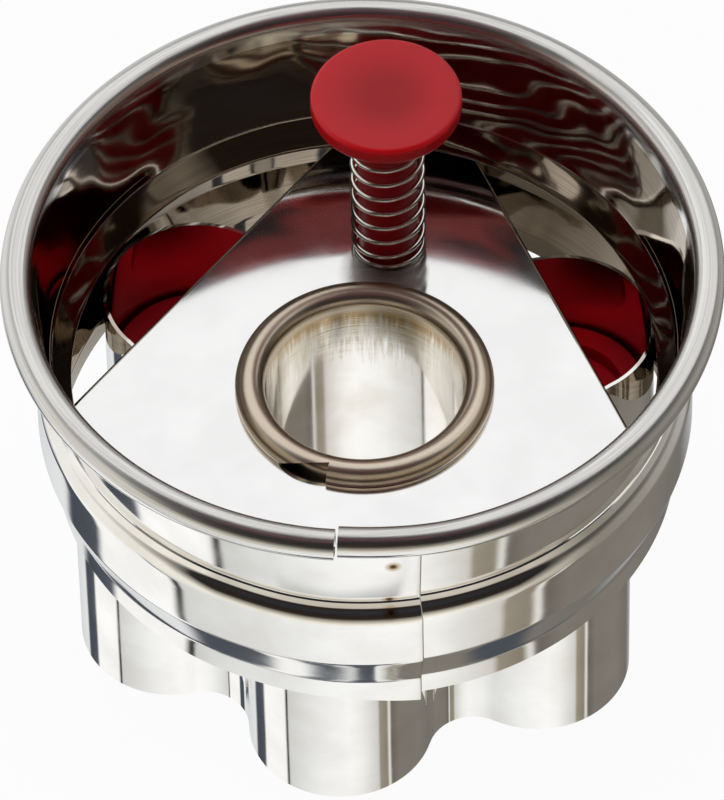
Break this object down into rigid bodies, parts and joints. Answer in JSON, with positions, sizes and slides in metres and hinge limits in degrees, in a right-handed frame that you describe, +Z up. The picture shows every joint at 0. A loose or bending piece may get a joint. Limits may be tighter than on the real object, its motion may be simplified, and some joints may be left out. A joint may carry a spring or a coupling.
{
  "type": "plunger cookie cutter",
  "caption": "Flower-shaped plunger cookie cutter: rolled tinplate collar, petal cutting strip, window tube on a bridge plate, and a sprung plastic plunger that ejects the biscuit.",
  "frame": {"origin": "on the collar's axis, in the plane of the cutting edges that the part stands on", "axes": "+Z up along the collar's axis towards the rolled rim, +Y from the axis towards the plunger"},
  "size_m": [0.06, 0.06, 0.042],
  "materials": {
    "polished_tinplate": "polished",
    "red_plastic": "satin",
    "spring_steel": "bright drawn"
  },
  "bodies": {
    "cutter": {"collar": "polished_tinplate", "petal_cutter": "polished_tinplate", "bridge_plate": "polished_tinplate", "hole_cutter": "polished_tinplate", "return_spring": "spring_steel"},
    "plunger": {"push_knob": "red_plastic", "ejector": "red_plastic"}
  },
  "joints": [
    {"name": "plunger_slide", "type": "slide", "parent": "cutter", "child": "plunger", "axis": [0, 0, -1], "range_m": [0, 0.0106], "stiffness_N_per_m": 200, "springref_m": -0.004, "deforming": ["return_spring"]}
  ]
}
